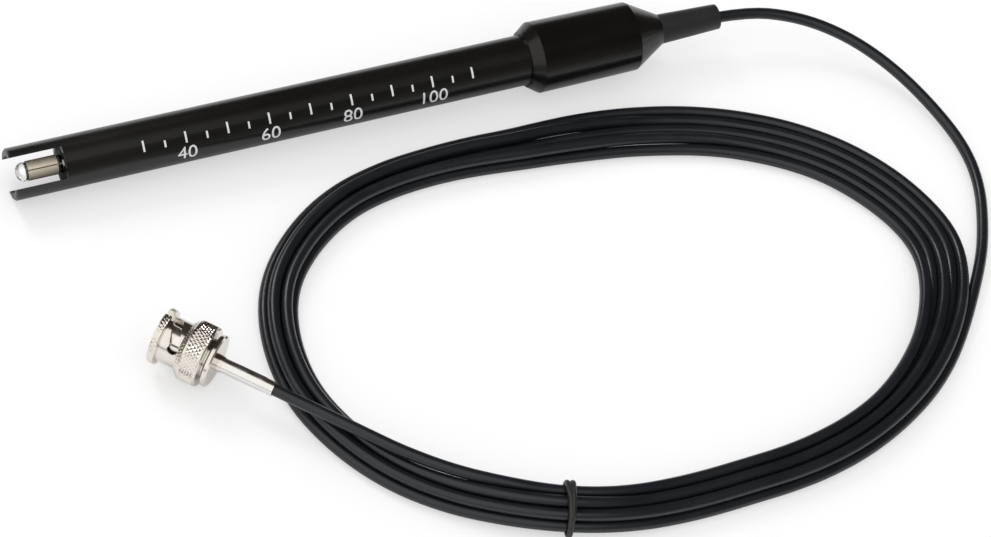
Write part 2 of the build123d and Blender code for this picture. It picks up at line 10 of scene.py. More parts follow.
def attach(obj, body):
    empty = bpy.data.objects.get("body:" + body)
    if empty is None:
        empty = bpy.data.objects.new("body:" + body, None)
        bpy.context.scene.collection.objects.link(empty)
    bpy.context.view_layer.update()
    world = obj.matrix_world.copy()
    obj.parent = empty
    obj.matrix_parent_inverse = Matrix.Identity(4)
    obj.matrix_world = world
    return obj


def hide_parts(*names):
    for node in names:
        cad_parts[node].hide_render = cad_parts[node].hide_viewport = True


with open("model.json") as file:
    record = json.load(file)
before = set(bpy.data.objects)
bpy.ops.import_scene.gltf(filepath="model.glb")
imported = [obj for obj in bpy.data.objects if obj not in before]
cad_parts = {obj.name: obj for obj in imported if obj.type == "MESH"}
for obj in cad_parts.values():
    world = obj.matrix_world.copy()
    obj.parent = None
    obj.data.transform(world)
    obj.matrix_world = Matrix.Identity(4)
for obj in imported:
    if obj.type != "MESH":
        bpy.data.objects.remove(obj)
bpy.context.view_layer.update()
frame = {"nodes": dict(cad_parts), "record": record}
nodes = frame["nodes"]
mounts = {mount["name"]: mount for mount in frame["record"]["mounts"]}


# Camera
# It looks down on the electrode from the coil's side with a long lens, leaning a little, as the photograph
# was taken. The focal length is for a picture 991 wide.
CAMERA_EYE = Vector((-0.238659, -0.412788, 0.608400))
CAMERA_AZIMUTH = math.radians(-34.613)
CAMERA_ELEVATION = math.radians(54.0)
CAMERA_ROLL = math.radians(16.0)
PICTURE_WIDTH = 991
FOCAL_PIXELS = 3300.0
SENSOR_WIDTH = 36.0
CLIP_START = 0.01

level_right = Vector((math.cos(CAMERA_AZIMUTH), math.sin(CAMERA_AZIMUTH), 0))
ahead = Vector((-math.sin(CAMERA_AZIMUTH), math.cos(CAMERA_AZIMUTH), 0))
zenith = Vector((0, 0, 1))
sight = ahead * math.cos(CAMERA_ELEVATION) - zenith * math.sin(CAMERA_ELEVATION)
level_up = ahead * math.sin(CAMERA_ELEVATION) + zenith * math.cos(CAMERA_ELEVATION)
camera_right = level_right * math.cos(CAMERA_ROLL) + level_up * math.sin(CAMERA_ROLL)
camera_up = level_up * math.cos(CAMERA_ROLL) - level_right * math.sin(CAMERA_ROLL)

lens = bpy.data.cameras.new("camera")
lens.sensor_width = SENSOR_WIDTH
lens.lens = SENSOR_WIDTH * FOCAL_PIXELS / PICTURE_WIDTH
lens.clip_start = CLIP_START
camera = bpy.data.objects.new("camera", lens)
bpy.context.scene.collection.objects.link(camera)
turn = Matrix((camera_right, camera_up, -sight)).transposed().to_4x4()
camera.matrix_world = Matrix.Translation(CAMERA_EYE) @ turn
bpy.context.scene.camera = camera
bpy.context.scene.view_settings.view_transform = "Standard"


# Cable
# A thin coaxial cable in a black PVC jacket with a faint blue cast. It leaves the boot, lies down, goes round
# in a flat coil whose strands pile up where it is narrow, and crosses over the coil to the plug.
CABLE_DIAMETER = 0.00275
CABLE_TOUCHING = 1.02
CABLE_ROUNDING = 6
CABLE_SMOOTHING = 6
# With this depth of bevel a curve is as thick as each point's radius says.
POINT_RADIUS_SCALE = 1
LEAD_START_FROM_TIP = 0.166
LEAD_CORNER_FROM_TIP = 0.182
LEAD_POINTS = [
    (0.1076, -0.0044, 0.0090),
    (0.1182, -0.0116, 0.0073),
    (0.1264, -0.0212, 0.0051),
    (0.1322, -0.0328, 0.0031),
    (0.1358, -0.0460, 0.00175),
    (0.1346, -0.0580, 0.00145),
    (0.1290, -0.0710, 0.00145),
    (0.1233, -0.0803, 0.00145),
]
# Middle of the coil at equal angles, and the lanes' distance there: 1 is side by side, 0.5 is two layers.
COIL_LINE = [
    (0.1058, -0.0434, 1.0),
    (0.1183, -0.0695, 1.0),
    (0.1060, -0.0949, 0.68),
    (0.0857, -0.1106, 0.53),
    (0.0645, -0.1174, 0.53),
    (0.0458, -0.1189, 0.52),
    (0.0283, -0.1192, 0.52),
    (0.0097, -0.1172, 0.51),
    (-0.0096, -0.1094, 0.53),
    (-0.0297, -0.0943, 0.57),
    (-0.0424, -0.0697, 0.56),
    (-0.0384, -0.0419, 0.57),
    (-0.0171, -0.0233, 0.62),
    (0.0083, -0.0185, 0.66),
    (0.0285, -0.0189, 0.78),
    (0.0458, -0.0194, 0.94),
    (0.0639, -0.0218, 1.0),
    (0.0846, -0.0284, 1.0),
]
COIL_TURNS = 5
COIL_MIDDLE_LANE = 2.5
COIL_STEP = 10
LOOK_ON = 2
COIL_FIRST = 40
COIL_LAST = COIL_TURNS * 360 + 170
# Number of a turn, middle and reach of its wander in degrees, and how many lanes inward it goes there.
WANDERS = [(1, 250, 60, 0.4), (3, 275, 75, 0.45), (3, 165, 45, -0.35)]
TAIL_RISES_FROM = 148
TAIL_RISEN = 172
TAIL_LANE = 4.5
TIE_DIAMETER = 0.0013
TIE_TURN = 147
TIE_LIFT_SPAN = 28
TAIL_FROM_NOSE = (0.0595, 0.050, 0.040, 0.031)
TAIL_END_IN_FERRULE = 0.0075
PLUG_LENGTH = 0.028
SHAFT_MOUNT_FROM_TIP = 0.0625

tip_to_boot = -Vector(mounts["shaft"]["axis"])
tip = Vector(mounts["shaft"]["pos_m"]) - tip_to_boot * SHAFT_MOUNT_FROM_TIP
plug_nose = Vector(mounts["plug_face"]["pos_m"])
plug_back = -Vector(mounts["plug_face"]["axis"])


def coil_station(degrees):
    """Middle of the coil at a number of degrees from its first place, and the lanes' distance there."""
    count = len(COIL_LINE)
    whole = degrees % 360 * count / 360
    index = int(whole)
    part = whole - index
    before, here, after, beyond = (COIL_LINE[(index + i) % count] for i in (-1, 0, 1, 2))
    place = []
    for a, b, c, d in zip(before[:2], here[:2], after[:2], beyond[:2]):
        bend = (2 * a - 5 * b + 4 * c - d) * part**2 + (3 * b - a - 3 * c + d) * part**3
        place.append(0.5 * (2 * b + (c - a) * part + bend))
    return Vector((place[0], place[1], 0)), here[2] * (1 - part) + after[2] * part


def eased(share):
    """Smooth step from 0 to 1."""
    share = min(max(share, 0), 1)
    return share * share * (3 - 2 * share)


def coil_heading(degrees):
    """Direction that the coil's middle line goes in there."""
    return (coil_station(degrees + LOOK_ON)[0] - coil_station(degrees - LOOK_ON)[0]).normalized()


def lane_of(turn_number, degrees):
    """Lane of a turn, counted from the outermost, with its wanders over its neighbours."""
    lane = turn_number + degrees / 360
    for wanderer, middle, reach, lanes in WANDERS:
        if wanderer == turn_number:
            lane += lanes * eased(1 - abs(degrees - middle) / reach)
    if turn_number == COIL_TURNS:
        lane += (TAIL_LANE - lane) * eased((degrees - TAIL_RISES_FROM) / (TAIL_RISEN - TAIL_RISES_FROM))
    return lane


def strand_height(turn_number, degrees, lane_width, touching):
    """How high a turn lies over the floor: even turns lie on it, odd ones in turn on what they cross."""
    if turn_number % 2 == 0:
        return 0
    height = 0
    for below in list(range(0, COIL_TURNS, 2)) + list(range(1, turn_number, 2)):
        across = (lane_of(turn_number, degrees) - lane_of(below, degrees)) * lane_width
        if abs(across) < touching:
            rest = strand_height(below, degrees, lane_width, touching)
            height = max(height, rest + math.sqrt(touching**2 - across**2))
    return height


def strand_point(total):
    """Centre of the strand after so many degrees of winding."""
    turn_number = total // 360
    degrees = total % 360
    middle, spread = coil_station(degrees)
    onward = coil_heading(degrees)
    inward = Vector((onward.y, -onward.x, 0))
    touching = CABLE_DIAMETER * CABLE_TOUCHING
    lane_width = touching * spread
    height = strand_height(turn_number, degrees, lane_width, touching)
    height += TIE_DIAMETER * eased(1 - abs(degrees - TIE_TURN) / TIE_LIFT_SPAN) + CABLE_DIAMETER / 2
    lane = lane_of(turn_number, degrees) - COIL_MIDDLE_LANE
    return middle + inward * lane * lane_width + zenith * height


def node_tree(owner):
    """The emptied node tree of a material or world."""
    owner.use_nodes = True
    tree = owner.node_tree
    tree.nodes.clear()
    return tree


def add_node(tree, kind, inputs=None, **settings):
    """A node with its settings, its plain input values and its links from other sockets."""
    node = tree.nodes.new("ShaderNode" + kind)
    for name, value in settings.items():
        setattr(node, name, value)
    for name, value in (inputs or {}).items():
        if isinstance(value, bpy.types.NodeSocket):
            tree.links.new(value, node.inputs[name])
        else:
            node.inputs[name].default_value = value
    return node


def surface_group():
    """Node group for moulding and handling marks: soft patches of roughness, and a fine grain."""
    group = bpy.data.node_groups.new("surface_marks", "ShaderNodeTree")
    sockets = group.interface
    for name in ("Patch Scale", "Grain Scale", "Smoothest", "Roughest"):
        sockets.new_socket(name, in_out="INPUT", socket_type="NodeSocketFloat")
    for name in ("Roughness", "Height", "Mask"):
        sockets.new_socket(name, in_out="OUTPUT", socket_type="NodeSocketFloat")
    inside = group.nodes.new("NodeGroupInput")
    outside = group.nodes.new("NodeGroupOutput")
    place = add_node(group, "TexCoord")
    patches = add_node(group, "TexNoise", {
        "Vector": place.outputs["Object"], "Scale": inside.outputs["Patch Scale"], "Detail": 4.0,
        "Roughness": 0.55,
    })
    grain = add_node(group, "TexNoise", {
        "Vector": place.outputs["Object"], "Scale": inside.outputs["Grain Scale"], "Detail": 2.0,
    })
    rough = add_node(group, "MapRange", {
        "Value": patches.outputs["Fac"], "From Min": 0.3, "From Max": 0.7,
        "To Min": inside.outputs["Smoothest"], "To Max": inside.outputs["Roughest"],
    })
    group.links.new(rough.outputs["Result"], outside.inputs["Roughness"])
    group.links.new(grain.outputs["Fac"], outside.inputs["Height"])
    group.links.new(patches.outputs["Fac"], outside.inputs["Mask"])
    return group


surface_marks = surface_group()


def add_marks(tree, patch_scale, grain_scale, roughness):
    """The group of marks in a material, with its scales and its range of roughness."""
    return add_node(tree, "Group", {
        "Patch Scale": patch_scale, "Grain Scale": grain_scale,
        "Smoothest": roughness[0], "Roughest": roughness[1],
    }, node_tree=surface_marks)


# Places of the sockets for colours in a Mix node.
MIX_SHARE = 0
MIX_FIRST = 6
MIX_SECOND = 7
MIX_RESULT = 2


def mixed(tree, share, colour_at_0, colour_at_1):
    """Mix of two colours by a share from a socket. Each colour is three numbers or a socket."""
    mix = add_node(tree, "Mix", data_type="RGBA")
    tree.links.new(share, mix.inputs[MIX_SHARE])
    for place, colour in ((MIX_FIRST, colour_at_0), (MIX_SECOND, colour_at_1)):
        if isinstance(colour, bpy.types.NodeSocket):
            tree.links.new(colour, mix.inputs[place])
        else:
            mix.inputs[place].default_value = (*colour, 1)
    return mix.outputs[MIX_RESULT]


def shown_by(tree, shader_socket, kind="OutputMaterial"):
    """Links a shader to the tree's output, which shows it."""
    output = add_node(tree, kind)
    tree.links.new(shader_socket, output.inputs["Surface"])


GRAIN_STRENGTH = 0.5


def marked_material(name, dark, light, roughness, patch_scale, grain_scale, grain_depth, specular=0.5):
    """Principled material whose colour and roughness vary in patches, with a fine grain."""
    material = bpy.data.materials.new(name)
    tree = node_tree(material)
    marks = add_marks(tree, patch_scale, grain_scale, roughness)
    bump = add_node(tree, "Bump", {
        "Height": marks.outputs["Height"], "Distance": grain_depth, "Strength": GRAIN_STRENGTH,
    })
    shader = add_node(tree, "BsdfPrincipled", {
        "Base Color": mixed(tree, marks.outputs["Mask"], dark, light),
        "Roughness": marks.outputs["Roughness"], "Normal": bump.outputs["Normal"],
        "Specular IOR Level": specular,
    })
    shown_by(tree, shader.outputs["BSDF"])
    return material


def dress(material, *pieces):
    """Gives pieces, or the CAD nodes with those names, one material."""
    for piece in pieces:
        target = nodes[piece] if isinstance(piece, str) else piece
        target.data.materials.clear()
        target.data.materials.append(material)


def add_piece(name, data, body):
    """Puts a piece in the scene, on its body."""
    piece = bpy.data.objects.new(name, data)
    bpy.context.scene.collection.objects.link(piece)
    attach(piece, body)
    return piece


lead = [tip + tip_to_boot * LEAD_START_FROM_TIP, tip + tip_to_boot * LEAD_CORNER_FROM_TIP]
lead += [Vector(point) for point in LEAD_POINTS]
winding = [strand_point(total) for total in range(COIL_FIRST, COIL_LAST + 1, COIL_STEP)]
tail = [plug_nose + plug_back * out for out in (*TAIL_FROM_NOSE, PLUG_LENGTH - TAIL_END_IN_FERRULE)]
route = lead + winding + tail

line = bpy.data.curves.new("cable", "CURVE")
line.dimensions = "3D"
line.bevel_depth = POINT_RADIUS_SCALE
line.bevel_resolution = CABLE_ROUNDING
line.resolution_u = CABLE_SMOOTHING
line.use_fill_caps = True
spline = line.splines.new("NURBS")
spline.points.add(len(route) - 1)
for point, place in zip(spline.points, route):
    point.co = (*place, 1)
    point.radius = CABLE_DIAMETER / 2
spline.order_u = 3
spline.use_endpoint_u = True
cable = add_piece("cable", line, "root")
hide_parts("cable_lead", "cable_coil", "cable_tail")
jacket = marked_material(
    "cable_jacket", dark=(0.006, 0.0075, 0.010), light=(0.010, 0.012, 0.016), roughness=(0.26, 0.38),
    patch_scale=120, grain_scale=2600, grain_depth=0.00002,
)
dress(jacket, cable, "cable_lead", "cable_coil", "cable_tail")


# Tie
# A black rubber band wound twice round the coil. The two turns lie together on the coil's inner side and part
# on its outer side, and the strands are lifted where it goes under them.
TIE_SPREAD = math.radians(3.2)
TIE_SIDES = 20
TIE_ROUNDING = 5
TIE_SMOOTHING = 3

tie_middle = coil_station(TIE_TURN)[0]
tie_onward = coil_heading(TIE_TURN)
tie_inward = Vector((tie_onward.y, -tie_onward.x, 0))
ring_points = []
reach = (CABLE_DIAMETER + TIE_DIAMETER) / 2
for number in range(COIL_TURNS + 1):
    centre = strand_point(number * 360 + TIE_TURN) - tie_middle
    across, height = centre.dot(tie_inward), centre.z
    for side in range(TIE_SIDES):
        angle = 2 * math.pi * side / TIE_SIDES
        ring_points.append(Vector((across + reach * math.cos(angle), height + reach * math.sin(angle))))
hull = [ring_points[index] for index in convex_hull_2d(ring_points)]
tie_inner_end = max(point.x for point in hull)

band = bpy.data.curves.new("coil_tie", "CURVE")
band.dimensions = "3D"
band.bevel_depth = POINT_RADIUS_SCALE
band.bevel_resolution = TIE_ROUNDING
band.resolution_u = TIE_SMOOTHING
for side in (-1, 1):
    loop = band.splines.new("NURBS")
    loop.points.add(len(hull) - 1)
    lean = Matrix.Rotation(side * TIE_SPREAD, 3, "Z")
    hinge = tie_middle + tie_inward * tie_inner_end + tie_onward * side * TIE_DIAMETER / 2
    for point, flat in zip(loop.points, hull):
        out = tie_inward * (flat.x - tie_inner_end)
        place = hinge + lean @ out + zenith * max(flat.y, TIE_DIAMETER / 2)
        point.co = (*place, 1)
        point.radius = TIE_DIAMETER / 2
    loop.order_u = 3
    loop.use_cyclic_u = True
tie = add_piece("tie_band", band, "root")
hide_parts("coil_tie")
rubber = marked_material(
    "tie_rubber", dark=(0.011, 0.011, 0.011), light=(0.02, 0.02, 0.02), roughness=(0.35, 0.5),
    patch_scale=300, grain_scale=4000, grain_depth=0.00002,
)
dress(rubber, tie, "coil_tie")


# Coupling nut
# A turned brass nut with bright nickel plate, knurled in diamonds on its grip and finely on its front lip.
# Two bayonet slots run in from the rim and climb round the sleeve to a round seat for the socket's pins.
NUT_BORE = 0.004875
LIP_RADIUS = 0.00645
LIP_END = 0.0017
SLEEVE_RADIUS = 0.00535
SLEEVE_END = 0.0063
RING_RADIUS = 0.0070
RING_CHAMFER_END = 0.0076
RING_CHAMFER_RADIUS = 0.0058
NUT_END = 0.0120
NUT_WALL = 0.01095
NUT_HOLE = 0.00355
EDGE = 0.00025
KNURL_COUNT = 48
KNURL_DEPTH = 0.00020
KNURL_LEAD = 0.00125
LIP_KNURL_DEPTH = 0.00010
CHAMFER_KNURL_DEPTH = 0.00012
GROOVE_WIDENING = 1.3
EDGE_FADE = 6
EDGE_DEPTH = 0.15
LIP_ROWS = 12
CHAMFER_ROWS = 12
RING_ROWS = 36
NUT_SEGMENTS = 384
NUT_ROLL = math.radians(-25)
SLOT_HALF = 0.0011
SLOT_DEEP = 0.0032
SLOT_TURN = math.radians(75)
SLOT_RISE = 0.0020
SLOT_SEAT_TURN = math.radians(79)
SLOT_SEAT_BACK = 0.00035
SLOT_CLIMB_STEPS = 20
SEAT_CORNER_STEP = 15
CUTTER_INSIDE = NUT_BORE - 0.0008
CUTTER_OUTSIDE = RING_RADIUS + 0.0004
CUTTER_BEFORE_RIM = 0.001
SHARP_ANGLE = math.radians(32)

plug_up = zenith.copy()
plug_side = plug_back.cross(plug_up)
plug_place = Matrix((plug_up, plug_side, plug_back)).transposed().to_4x4()
plug_place.translation = plug_nose


def shade(mesh):
    """Smooth shading with sharp edges above an angle."""
    form = bmesh.new()
    form.from_mesh(mesh)
    for face in form.faces:
        face.smooth = True
    for edge in form.edges:
        edge.smooth = len(edge.link_faces) == 2 and edge.calc_face_angle(0) < SHARP_ANGLE
    form.to_mesh(mesh)
    form.free()


def diamond(turn_share, height):
    """Depth of a diamond knurl, from 0 on its flat tops to 1 in its grooves."""
    ridge = 1
    for way in (-1, 1):
        phase = (turn_share * KNURL_COUNT + way * height / KNURL_LEAD) % 1
        ridge = min(ridge, 1 - abs(2 * phase - 1))
    return 1 - min(ridge * GROOVE_WIDENING, 1)


def turned_mesh(name, outline, segments, place):
    """Mesh of a closed outline of (radius, height, knurl depth) points, turned about Z and set in place."""
    points = []
    faces = []
    for radius, height, depth in outline:
        for step in range(segments):
            angle = 2 * math.pi * step / segments
            cut = radius - depth * diamond(step / segments, height) if depth else radius
            points.append(place @ Vector((cut * math.cos(angle), cut * math.sin(angle), height)))
    rows = len(outline)
    for row in range(rows):
        below, above = row * segments, (row + 1) % rows * segments
        for step in range(segments):
            after = (step + 1) % segments
            faces.append((below + step, below + after, above + after, above + step))
    mesh = bpy.data.meshes.new(name)
    mesh.from_pydata(points, [], faces)
    return mesh


def rows_between(radius_a, height_a, radius_b, height_b, depth, count):
    """Rows of a knurled face from one place to another, shallow at both of its edges."""
    rows = []
    for step in range(count + 1):
        share = step / count
        fade = min(1, EDGE_FADE * min(share, 1 - share) + EDGE_DEPTH)
        radius = radius_a + (radius_b - radius_a) * share
        height = height_a + (height_b - height_a) * share
        rows.append((radius, height, depth * fade))
    return rows


nut_outline = [(NUT_BORE, 0, 0), (LIP_RADIUS - EDGE, 0, 0)]
nut_outline += rows_between(LIP_RADIUS, EDGE, LIP_RADIUS, LIP_END - EDGE / 2, LIP_KNURL_DEPTH, LIP_ROWS)
nut_outline += [(LIP_RADIUS - EDGE / 2, LIP_END, 0)]
nut_outline += [(SLEEVE_RADIUS, LIP_END, 0), (SLEEVE_RADIUS, SLEEVE_END, 0)]
nut_outline += rows_between(RING_CHAMFER_RADIUS, SLEEVE_END, RING_RADIUS, RING_CHAMFER_END,
                            CHAMFER_KNURL_DEPTH, CHAMFER_ROWS)
nut_outline += rows_between(RING_RADIUS, RING_CHAMFER_END, RING_RADIUS, NUT_END - EDGE,
                            KNURL_DEPTH, RING_ROWS)[1:]
nut_outline += [(RING_RADIUS - EDGE, NUT_END, 0), (NUT_HOLE, NUT_END, 0)]
nut_outline += [(NUT_HOLE, NUT_WALL, 0), (NUT_BORE, NUT_WALL, 0)]
nut_place = plug_place @ Matrix.Rotation(NUT_ROLL, 4, "Z")
nut_mesh = turned_mesh("nut", nut_outline, NUT_SEGMENTS, nut_place)


def join_rings(form, near, far):
    """Faces between two rings of corners in a bmesh."""
    count = len(near)
    for i in range(count):
        after = (i + 1) % count
        form.faces.new((near[i], near[after], far[after], far[i]))


def prism(form, place, outline):
    """Closed prism through the nut's wall, added to a bmesh, from an outline of (across, height) corners."""
    near = [form.verts.new(place @ Vector((CUTTER_INSIDE, across, height))) for across, height in outline]
    far = [form.verts.new(place @ Vector((CUTTER_OUTSIDE, across, height))) for across, height in outline]
    join_rings(form, near, far)
    form.faces.new(near[::-1])
    form.faces.new(far)


def add_climb(form, spin):
    """Closed channel, added to a bmesh, that climbs round the sleeve from the straight slot to the seat."""
    tall = SLOT_HALF / math.cos(math.atan(SLOT_RISE / (SLEEVE_RADIUS * SLOT_TURN)))
    rings = []
    for step in range(SLOT_CLIMB_STEPS + 1):
        place = spin @ Matrix.Rotation(SLOT_TURN * step / SLOT_CLIMB_STEPS, 4, "Z")
        middle = SLOT_DEEP + SLOT_RISE * step / SLOT_CLIMB_STEPS
        low, high = middle - tall, middle + tall
        corners = ((CUTTER_INSIDE, low), (CUTTER_OUTSIDE, low), (CUTTER_OUTSIDE, high), (CUTTER_INSIDE, high))
        rings.append([form.verts.new(place @ Vector((radius, 0, height))) for radius, height in corners])
    form.faces.new(rings[0][::-1])
    for before, ring in zip(rings, rings[1:]):
        join_rings(form, before, ring)
    form.faces.new(rings[-1])


def slot_cutter(start_angle):
    """Closed pieces that together have the form of one bayonet slot."""
    form = bmesh.new()
    spin = nut_place @ Matrix.Rotation(start_angle, 4, "Z")
    prism(form, spin, ((-SLOT_HALF, -CUTTER_BEFORE_RIM), (SLOT_HALF, -CUTTER_BEFORE_RIM),
                       (SLOT_HALF, SLOT_DEEP), (-SLOT_HALF, SLOT_DEEP)))
    slot_top = SLOT_DEEP + SLOT_RISE
    for angle, height in ((0, SLOT_DEEP), (SLOT_TURN, slot_top), (SLOT_SEAT_TURN, slot_top - SLOT_SEAT_BACK)):
        corners = [math.radians(corner) for corner in range(0, 360, SEAT_CORNER_STEP)]
        circle = [(SLOT_HALF * math.cos(a), height + SLOT_HALF * math.sin(a)) for a in corners]
        prism(form, spin @ Matrix.Rotation(angle, 4, "Z"), circle)
    add_climb(form, spin)
    bmesh.ops.recalc_face_normals(form, faces=form.faces)
    mesh = bpy.data.meshes.new("slot_cutter")
    form.to_mesh(mesh)
    form.free()
    return mesh


def cut_away(piece, cutter_mesh):
    """Takes a cutter's form out of a piece for good."""
    cutter = bpy.data.objects.new("cutter", cutter_mesh)
    bpy.context.scene.collection.objects.link(cutter)
    tool = piece.modifiers.new("cut", "BOOLEAN")
    tool.operation = "DIFFERENCE"
    tool.solver = "EXACT"
    tool.use_self = True
    tool.object = cutter
    bpy.context.view_layer.update()
    whole = piece.evaluated_get(bpy.context.evaluated_depsgraph_get())
    result = bpy.data.meshes.new_from_object(whole)
    piece.modifiers.clear()
    piece.data = result
    bpy.data.objects.remove(cutter)


LINE_LENGTH_SCALE = 30.0
LINE_STRENGTH = 0.4
PLATE_PATCH_SCALE = 350
PLATE_GRAIN_SCALE = 5000
PLATE_SMOOTHEST = 0.75
PLATE_ROUGHEST = 1.35


def plated_material(name, tint, shadow, roughness, line_scale, line_depth, axis_turn, metallic=1.0):
    """Bright plated metal with faint turning lines round its axis and a slightly uneven tone."""
    material = bpy.data.materials.new(name)
    tree = node_tree(material)
    place = add_node(tree, "TexCoord")
    along = add_node(tree, "Mapping", {"Vector": place.outputs["Object"], "Rotation": axis_turn})
    squeeze = add_node(tree, "Mapping", {
        "Vector": along.outputs["Vector"], "Scale": (LINE_LENGTH_SCALE, LINE_LENGTH_SCALE, line_scale),
    })
    lines = add_node(tree, "TexNoise", {"Vector": squeeze.outputs["Vector"], "Scale": 1.0, "Detail": 3.0})
    marks = add_marks(tree, PLATE_PATCH_SCALE, PLATE_GRAIN_SCALE,
                      (roughness * PLATE_SMOOTHEST, roughness * PLATE_ROUGHEST))
    bump = add_node(tree, "Bump", {
        "Height": lines.outputs["Fac"], "Distance": line_depth, "Strength": LINE_STRENGTH,
    })
    shader = add_node(tree, "BsdfPrincipled", {
        "Base Color": mixed(tree, marks.outputs["Mask"], shadow, tint),
        "Roughness": marks.outputs["Roughness"], "Normal": bump.outputs["Normal"],
        "Metallic": metallic,
    })
    shown_by(tree, shader.outputs["BSDF"])
    return material


nut = add_piece("nut_plated", nut_mesh, "nut")
for opposite in (0, math.pi):
    cut_away(nut, slot_cutter(opposite))
shade(nut.data)
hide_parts("coupling_nut")
plug_axis_turn = tuple(plug_place.to_3x3().inverted().to_euler())
nickel = plated_material(
    "nickel", tint=(0.80, 0.77, 0.72), shadow=(0.70, 0.66, 0.60), roughness=0.16,
    line_scale=2500, line_depth=0.00001, axis_turn=plug_axis_turn,
)
dress(nickel, nut, "coupling_nut")


# Plug body, disc and ferrule
# The brass body that the nut turns on, the bevelled disc pressed on behind it, and the long thin tube crimped
# over the cable. All are turned and nickel plated like the nut.
dress(nickel, "plug_body", "retaining_disc")
ferrule_plate = plated_material(
    "ferrule_plate", tint=(0.84, 0.83, 0.81), shadow=(0.74, 0.72, 0.69), roughness=0.2,
    line_scale=1200, line_depth=0.00001, axis_turn=plug_axis_turn,
)
dress(ferrule_plate, "crimp_ferrule")


# Inside the plug
# The silver-plated spring sleeve, the gilt pin in its white insulator, the rubber ring and the two washers
# that the nut is drawn back on, and the stripped end of the cable.
silver_plate = plated_material(
    "contact_silver", tint=(0.86, 0.84, 0.80), shadow=(0.76, 0.73, 0.68), roughness=0.2,
    line_scale=2000, line_depth=0.00001, axis_turn=plug_axis_turn,
)
gilt = plated_material(
    "pin_gold", tint=(0.86, 0.66, 0.30), shadow=(0.76, 0.56, 0.24), roughness=0.2,
    line_scale=2000, line_depth=0.00001, axis_turn=plug_axis_turn,
)
bronze = plated_material(
    "spring_bronze", tint=(0.66, 0.58, 0.46), shadow=(0.56, 0.48, 0.38), roughness=0.3,
    line_scale=1500, line_depth=0.00001, axis_turn=plug_axis_turn,
)
tinned_copper = plated_material(
    "tinned_copper", tint=(0.72, 0.70, 0.66), shadow=(0.60, 0.57, 0.53), roughness=0.35,
    line_scale=1500, line_depth=0.00002, axis_turn=plug_axis_turn,
)
white_plastic = marked_material(
    "insulator_white", dark=(0.78, 0.77, 0.73), light=(0.86, 0.85, 0.82), roughness=(0.3, 0.4),
    patch_scale=200, grain_scale=2500, grain_depth=0.00001,
)
red_rubber = marked_material(
    "gasket_rubber", dark=(0.10, 0.035, 0.03), light=(0.14, 0.05, 0.04), roughness=(0.5, 0.6),
    patch_scale=200, grain_scale=3000, grain_depth=0.00002,
)
core_plastic = marked_material(
    "core_insulation", dark=(0.78, 0.77, 0.70), light=(0.86, 0.85, 0.79), roughness=(0.3, 0.45),
    patch_scale=200, grain_scale=2500, grain_depth=0.00001,
)
dress(silver_plate, "outer_contact")
dress(gilt, "centre_contact")
dress(bronze, "spring_washer", "thrust_washer")
dress(tinned_copper, "cable_braid", "shield_wire", "signal_splice")
dress(white_plastic, "insulator")
dress(red_rubber, "gasket")
dress(core_plastic, "core_in_plug", "core_in_head")


# Shaft and head
# Glossy black moulded plastic, polished by its mould, with soft flow marks. The faces cut across the shaft's
# tip are duller. The head cap is glued over the shaft's end.
CUT_FACE_FROM = 0.85
CUT_FACE_WHOLE = 0.95
POLISHED_SPECULAR = 0.45
CUT_SPECULAR = 0.15

black_plastic = marked_material(
    "black_plastic", dark=(0.0035, 0.0032, 0.0028), light=(0.005, 0.0045, 0.004), roughness=(0.24, 0.32),
    patch_scale=40, grain_scale=1800, grain_depth=0.000004,
)
tree = black_plastic.node_tree
facing = add_node(tree, "NewGeometry")
to_tip = add_node(tree, "VectorMath", {0: facing.outputs["Normal"], 1: -tip_to_boot}, operation="DOT_PRODUCT")
cut_face = add_node(tree, "MapRange", {
    "Value": to_tip.outputs["Value"], "From Min": CUT_FACE_FROM, "From Max": CUT_FACE_WHOLE,
    "To Min": POLISHED_SPECULAR, "To Max": CUT_SPECULAR,
})
tree.links.new(cut_face.outputs["Result"], tree.nodes["Principled BSDF"].inputs["Specular IOR Level"])
dress(black_plastic, "shaft_body")
head_plastic = marked_material(
    "head_plastic", dark=(0.0035, 0.0032, 0.0028), light=(0.005, 0.0045, 0.004), roughness=(0.18, 0.26),
    patch_scale=60, grain_scale=1800, grain_depth=0.000004, specular=0.35,
)
dress(head_plastic, "head_cap")


# Depth marks
# Plain white printed marks for the depth of immersion: a short line each 5 mm, a longer one each 10 mm and
# the number of millimetres from the tip at each second long line. They are laid out flat, then wrapped round.
MARKS_FROM = 30
MARKS_TO = 110
MARK_STEP = 5
LONG_MARK_STEP = 10
NUMBER_STEP = 20
MARK_WIDTH = 0.00045
SHORT_MARK = 0.0016
LONG_MARK = 0.0026
NUMBER_HEIGHT = 0.0034
NUMBER_GAP = 0.0008
DIGIT_HEIGHT_SHARE = 0.7
INK_THICKNESS = 0.00004
INK_SUNK_SHARE = 0.25
MARKS_TURN = math.radians(50)
SHAFT_RADIUS = 0.006
WRAP_STEP = 0.0003
WRAP_CUTS = 18
SAME_PLACE = 0.000001
MM_PER_METRE = 1000


def add_line(layout, along, tall):
    """Flat mark across the shaft, added to the layout."""
    size = Matrix.Diagonal((MARK_WIDTH, tall, INK_THICKNESS, 1))
    bmesh.ops.create_cube(layout, size=1, matrix=Matrix.Translation((along, tall / 2, 0)) @ size)


